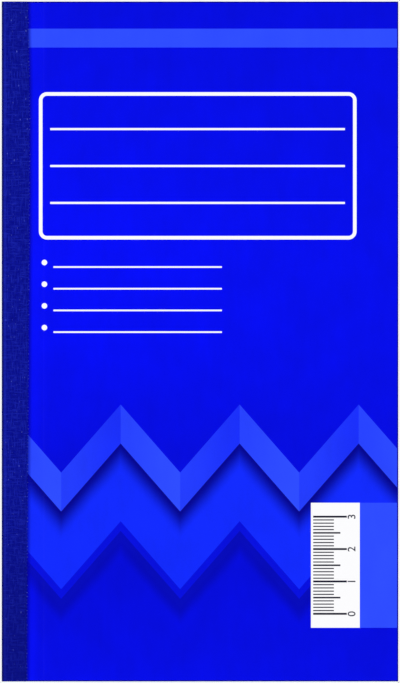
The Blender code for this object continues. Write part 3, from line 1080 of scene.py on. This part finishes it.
tape_rows = spread(FOOT, HEAD, TAPE_ROW)
close_sheet(shape, *[
    [[tape_point(station, y, depth) for y in tape_rows] for station in tape_stations]
    for depth in (0.0, CLOTH_THICKNESS)])
tape = shape_to_piece("tape_cloth", shape, cloth)
tape.data.shade_smooth()
tape.data.set_sharp_from_angle(angle=CLOTH_ANGLE)
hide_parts("spine_tape")
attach(tape, BINDING)
print("tape", len(tape.data.polygons), "faces")

# %% [markdown]
# ## Cut thread ends
# Along its long edges the cloth shows short pale ends where the weft was cut. Placed by hand they would look
# combed, and there are hundreds. They repeat every few threads with chance lengths, so a tree strings thin
# rods along the edge and gives each its own length and lean from a fixed seed.

# %% Thread ends along the two edges of the tape
THREAD_LEAN = 0.35
ROD_SIDES = 5
FRINGE_PITCH, FRINGE_INSET = 1.1 * MM, 1 * MM
THREAD_SIZE, THREAD_HEIGHT = 0.12 * MM, 0.11 * MM
SHORTEST_END, LONGEST_END = 0.1 * MM, 0.7 * MM


@geometry_tree
def cut_thread_ends(
        edge="Geometry", count="Int", shortest="Float", longest="Float", thickness="Float", seed="Int",
        thread="Material"):
    """Rods along an edge, each with its own length and lean."""
    tree = edge.tree
    curve = add(tree, "GeometryNodeMeshToCurve", {"Mesh": edge})
    points = add(tree, "GeometryNodeResampleCurve", {"Curve": curve, "Count": count})
    rod_sizes = {"Vertices": ROD_SIDES, "Radius": thickness / 2, "Depth": 1.0}
    rod = add(tree, "GeometryNodeMeshCylinder", rod_sizes, "Mesh")
    length = chance(seed, shortest, longest)
    stretch = add(tree, "ShaderNodeCombineXYZ", {"X": 1.0, "Y": 1.0, "Z": length})
    lean = chance(seed + 1.0, -THREAD_LEAN, THREAD_LEAN)
    turn = add(tree, "ShaderNodeCombineXYZ", {"Y": QUARTER_TURN, "Z": lean})
    return {"geometry": set_material(copies(points, rod, Rotation=turn, Scale=stretch), thread)}


fringes = []
for name, side, height, seed in (
        ("front", FRONT, front_high.z + THREAD_HEIGHT, 3),
        ("back", BACK, back_strip_low.z - THREAD_HEIGHT, 8)):
    edge = bmesh.new()
    places = spread(FOOT + FRINGE_INSET, HEAD - FRINGE_INSET, TAPE_ROW)
    points = [edge.verts.new((tape_high.x + edge_shift(side, y), y, height)) for y in places]
    for before, after in zip(points, points[1:]):
        edge.edges.new((before, after))
    ends = shape_to_piece(f"tape_thread_ends_{name}", edge)
    add_tree(
        ends, cut_thread_ends, count=int(SHEET_HEIGHT / FRINGE_PITCH), shortest=SHORTEST_END,
        longest=LONGEST_END, thickness=THREAD_SIZE, seed=seed, thread=thread)
    make_plain(ends)
    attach(ends, BINDING)
    fringes.append(ends)
print("thread ends:", [len(ends.data.polygons) for ends in fringes], "faces")

# %% [markdown]
# ## The block of sets
# Sets 5 to 100 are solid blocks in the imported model, but a trimmed book shows every leaf at its edges: white
# and yellow in turn. Stripes in a material would be quicker, but they lie flat. A tree stacks one pierced
# leaf on a line of points, shifts each by a chance hair and stores a tone for it. The top leaf is kept out
# of the stack, because it shows its ruling and its perforation.

# %% A tree that stacks leaves
LEAF_NUMBER = "leaf_number"
BUNDLE_SCALE, BUNDLE_TONE = 0.09, 4.0
PALEST_LEAF, DEEPEST_LEAF = -0.5, 1.0


@geometry_tree
def stacked_leaves(
        leaf="Object", count="Int", bottom="Vector", pitch="Vector", uneven="Vector", seed="Int",
        white="Material", yellow="Material"):
    """Leaves above one another, yellow and white in turn, each with its number and its tone."""
    tree = leaf.tree
    any_way = add(tree, "FunctionNodeRandomValue", {
        0: (-1.0, -1.0, 0.0), 1: (1.0, 1.0, 0.0), "Seed": seed}, data_type="FLOAT_VECTOR")
    line = line_of_points(count, bottom, pitch)
    points = add(tree, "GeometryNodeSetPosition", {"Geometry": line, "Offset": any_way * uneven})
    number = add(tree, "GeometryNodeInputIndex")
    bundle = add(tree, "ShaderNodeTexNoise", {
        "W": number, "Scale": BUNDLE_SCALE, "Detail": 2.0}, noise_dimensions="1D")
    tone = (bundle - NOISE_MIDDLE) * BUNDLE_TONE + chance(seed, PALEST_LEAF, DEEPEST_LEAF)
    for name, value, kind in ((LEAF_TONE, tone, "FLOAT"), (LEAF_NUMBER, number, "INT")):
        sockets = {"Geometry": points, "Name": name, "Value": value}
        points = add(tree, "GeometryNodeStoreNamedAttribute", sockets, data_type=kind)
    leaves = copies(points, add(tree, "GeometryNodeObjectInfo", {"Object": leaf}, "Geometry"))
    leaf_number = add(tree, "GeometryNodeInputNamedAttribute", {"Name": LEAF_NUMBER}, data_type="INT")
    is_white = calc("FLOORED_MODULO", leaf_number, 2.0)
    return {"geometry": set_material(set_material(leaves, yellow), white, is_white)}


# %% The block and its top leaf
block_low = min((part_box(name)[0] for name in BLOCK_NODES), key=lambda corner: corner.z)
block_high = max((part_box(name)[1] for name in BLOCK_NODES), key=lambda corner: corner.z)
set_numbers = [int(word) for name in BLOCK_NODES for word in name.split("_") if word.isdigit()]
block_leaves = 2 * (max(set_numbers) - min(set_numbers) + 1)
LEAF_PITCH = (block_high.z - block_low.z) / block_leaves
LEAF_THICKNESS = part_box("index_sheet_leaf")[1].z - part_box("index_sheet_leaf")[0].z
LEAF_UNEVEN = 0.03 * MM
leaf_left, leaf_right = block_low.x, block_high.x


def make_leaf(name, columns, bottom, holes, page, paper):
    """A pierced sheet of paper, with a page printed on its upper face."""
    leaf = make_plate(
        name, columns, [leaf_foot, leaf_head], lambda x: bottom + LEAF_THICKNESS, lambda x: bottom)
    pierce(leaf, holes, page, paper, paper)
    return leaf


pattern_columns = [leaf_left, leaf_right - LEAF_UNEVEN]
pattern_leaf = make_leaf("pattern_leaf", pattern_columns, 0.0, STITCH_HOLES, white_paper, white_paper)
block = shape_to_piece("block_of_sets", bmesh.new())
add_tree(
    block, stacked_leaves, leaf=pattern_leaf, count=block_leaves - 1, bottom=(0.0, 0.0, block_low.z),
    pitch=(0.0, 0.0, LEAF_PITCH), uneven=(LEAF_UNEVEN, LEAF_UNEVEN, 0.0), seed=5, white=white_paper,
    yellow=yellow_paper)
make_plain(block)
bpy.data.objects.remove(pattern_leaf)
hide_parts(*BLOCK_NODES)
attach(block, BINDING)

top_leaf_bottom = block_high.z - LEAF_PITCH
block_top = make_leaf(
    "block_top_leaf", [leaf_left, leaf_right], top_leaf_bottom, STITCH_HOLES + PERFORATION, top_copy_page,
    white_paper)
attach(block_top, BINDING)
print(f"{block_leaves} leaves, {LEAF_PITCH / MM:.3f} mm apart, {len(block.data.polygons)} faces")

# %% [markdown]
# ## The leaves that turn
# The index sheet and the first four sets are loose. Each leaf is one sheet from the stitches to the fore
# edge, with its points close together just beside the binding, where it would bend when it is turned. Its two
# solids could be dressed one by one, but a crack would show at the fold, so one plate stands for both. Only a
# top copy is in two: the stub that stays, with a comb of paper ties along its tear line, and the sheet that
# tears off, with the other half of each cut as a notch in its edge.

# %% The loose leaves
BEND_END = SPINE + 18.8 * MM
LONGEST_BEND = 3.2 * MM
BEND_STEP = 0.3 * MM
PAGE_NUMBER = 4.2 * MM
PAGE_NUMBER_PLACE = Vector((SPINE + 113 * MM, HEAD - 14 * MM, NUMERAL_LIFT))


def bound_leaf(piece_name, name, turning_part, holes, page, paper, slot):
    """A sheet from the binding to the end of its turning part, with close points beside its fold line."""
    margin, turning = f"{name}_margin", f"{name}_{turning_part}"
    fold, low = fold_places[f"{name}_turn"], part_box(margin)[0]
    bend_end = min(BEND_END, fold.x + LONGEST_BEND)
    columns = [low.x] + spread(fold.x, bend_end, BEND_STEP) + [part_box(turning)[1].x]
    leaf = make_leaf(piece_name, columns, low.z, holes, page, paper)
    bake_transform(leaf)
    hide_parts(margin, turning)


def page_number(set_number, kind, body, top):
    centre = PAGE_NUMBER_PLACE + Vector((0.0, 0.0, top))
    mark = numeral(f"{kind}_number_{set_number}", f"{set_number:03d}", PAGE_NUMBER, centre, 0.0, red_ink)
    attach(mark, body)


bound_leaf("index_sheet", "index_sheet", "leaf", STITCH_HOLES, index_page, white_paper, "white_paper")
for set_number in LOOSE_SETS:
    top, copy = f"top_copy_{set_number}", f"duplicate_copy_{set_number}"
    stub_holes = STITCH_HOLES + PERFORATION
    bound_leaf(f"{top}_bound_stub", top, "stub", stub_holes, top_copy_page, white_paper, "white_paper")
    sheet_low, sheet_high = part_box(f"{top}_sheet")
    page = make_leaf(
        f"{top}_page", [sheet_low.x, sheet_high.x], sheet_low.z, TORN_EDGE, top_copy_page, white_paper)
    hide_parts(f"{top}_sheet")
    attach(page, f"{top}_sheet")
    bound_leaf(f"{copy}_page", copy, "leaf", STITCH_HOLES, duplicate_page, yellow_paper, "yellow_paper")
    page_number(set_number, "top_copy", f"{top}_sheet", sheet_high.z)
    page_number(set_number, "duplicate_copy", f"{copy}_leaf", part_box(f"{copy}_leaf")[1].z)
page_number(LOOSE_SETS[-1] + 1, "top_copy", BINDING, top_leaf_bottom + LEAF_THICKNESS)
print("loose leaves:", 1 + 2 * len(LOOSE_SETS))

# %% [markdown]
# ## The writing shield and the wire
# A loose card goes under the set in use so that writing doesn't press through to the next. It is plain
# greyboard, with its corners rounded so that they don't catch. A curve could draw its outline, but the same
# plate serves, with its upright edges bevelled wide and then its rim bevelled fine. The wire stitches keep
# their solids, which have the right shape, and only get a finish.

# %% The shield and the wire
SHIELD_CORNER, SHIELD_CORNER_STEPS = 4.0 * MM, 6
SHIELD_RIM = 0.06 * MM


def stands_up(edge):
    return abs(edge.verts[0].co.z - edge.verts[1].co.z) > SHIELD_RIM


shield = make_plate(
    "shield_card", [shield_low.x, shield_high.x], [shield_low.y, shield_high.y], lambda x: shield_high.z,
    lambda x: shield_low.z, greyboard)
round_edges(shield, stands_up, SHIELD_CORNER, SHIELD_CORNER_STEPS)
round_edges(shield, turns_corner, SHIELD_RIM)
keep_flat_place(shield)
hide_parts("writing_shield")
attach(shield, "writing_shield")
for name in STITCH_NODES:
    finishes = frame["nodes"][name].data.materials
    finishes.clear()
    finishes.append(wire)
print("shield", len(shield.data.polygons), "faces")

# %% [markdown]
# ## Floor, light and camera
# The photograph is a flat copy of the closed book, seen straight from above with no perspective. A long lens
# far above the book gives that. Two large soft lamps stand left and right as on a copying stand, and a pale
# sky fills the rest. Together they light the cover so that a colour renders about as it is written. The back
# cover opens to below the floor, so the floor is mostly clear to the camera: it adds the shadow, and the
# white sky shows through.

# %% Floor and sky
WHITE, FLOOR_GREY = (1.0, 1.0, 1.0, 1.0), (0.9, 0.9, 0.9, 1.0)
FLOOR_SIZE, FLOOR_GAP = 12.0, 0.1 * MM
FLOOR_CLEAR = 0.85
CONTACT_RAY = 4 * MM
SKY_LIGHT = 0.4


def seen_directly(tree):
    """1 for rays that come from the camera or by way of a mirror or glass."""
    rays = ("Is Camera Ray", "Is Glossy Ray", "Is Transmission Ray")
    return largest(*[add(tree, "ShaderNodeLightPath", output=ray) for ray in rays])


floor_finish, surface = new_material("pale_floor", roughness=0.9, specular=0.1)
surface["Base Color"].default_value = FLOOR_GREY
tree = floor_finish.node_tree
from_below = add(tree, "ShaderNodeNewGeometry", output="Backfacing")
in_contact = calc("LESS_THAN", add(tree, "ShaderNodeLightPath", output="Ray Length"), CONTACT_RAY)
clear_share = largest(seen_directly(tree) * FLOOR_CLEAR, from_below, in_contact)
pale, clear = Value(tree.nodes["Principled BSDF"].outputs[0]), add(tree, "ShaderNodeBsdfTransparent")
partly_clear = add(tree, "ShaderNodeMixShader", {0: clear_share, 1: pale, 2: clear})
fill(tree.nodes["Material Output"].inputs["Surface"], partly_clear)
shape = bmesh.new()
bmesh.ops.create_grid(shape, x_segments=1, y_segments=1, size=FLOOR_SIZE / 2)
bmesh.ops.translate(shape, verts=shape.verts, vec=(0.0, 0.0, cad_low[2] - FLOOR_GAP))
floor = shape_to_piece("floor", shape, floor_finish)
floor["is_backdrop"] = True

sky = bpy.data.worlds.new("studio_sky")
bpy.context.scene.world = sky
sky.use_nodes = True
backdrop = sky.node_tree.nodes["Background"].inputs
backdrop["Color"].default_value = WHITE
fill(backdrop["Strength"], seen_directly(sky.node_tree) * (1.0 - SKY_LIGHT) + SKY_LIGHT)
print("floor", FLOOR_SIZE, "m, sky", SKY_LIGHT)

# %% Lamps and camera
LAMP_SIDE, LAMP_HEIGHT = 1.05, 1.6
LAMP_WIDTH, LAMP_LENGTH = 1.0, 1.8
LAMP_POWER = 16.3
CAMERA_DISTANCE, SENSOR = 2.5, 36.0
PHOTO_HEIGHT_PX, BOOK_HEIGHT_PX = 683, 680
for side in (-1, 1):
    lamp = configure(
        bpy.data.lights.new(f"soft_lamp_{side}", "AREA"), shape="RECTANGLE", size=LAMP_WIDTH,
        size_y=LAMP_LENGTH, energy=LAMP_POWER)
    lean = side * math.atan2(LAMP_SIDE, LAMP_HEIGHT)
    put_in_scene(
        lamp.name, lamp, location=(side * LAMP_SIDE, 0.0, LAMP_HEIGHT), rotation_euler=(0.0, lean, 0.0),
        visible_camera=False)

seen_height = (HEAD - FOOT) * PHOTO_HEIGHT_PX / BOOK_HEIGHT_PX
eye = configure(
    bpy.data.cameras.new("copy_camera"), sensor_fit="VERTICAL", sensor_height=SENSOR,
    lens=SENSOR * CAMERA_DISTANCE / seen_height)
scene = bpy.context.scene
scene.camera = put_in_scene("copy_camera", eye, location=(0.0, 0.0, front_high.z + CAMERA_DISTANCE))
scene.view_settings.view_transform = "Standard"
print(f"lens {eye.lens:.0f} mm at {CAMERA_DISTANCE} m")

# %% The size of the dressed book
visual_low, visual_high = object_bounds()
print("visual box", [round(value / MM, 2) for value in (*visual_low, *visual_high)])
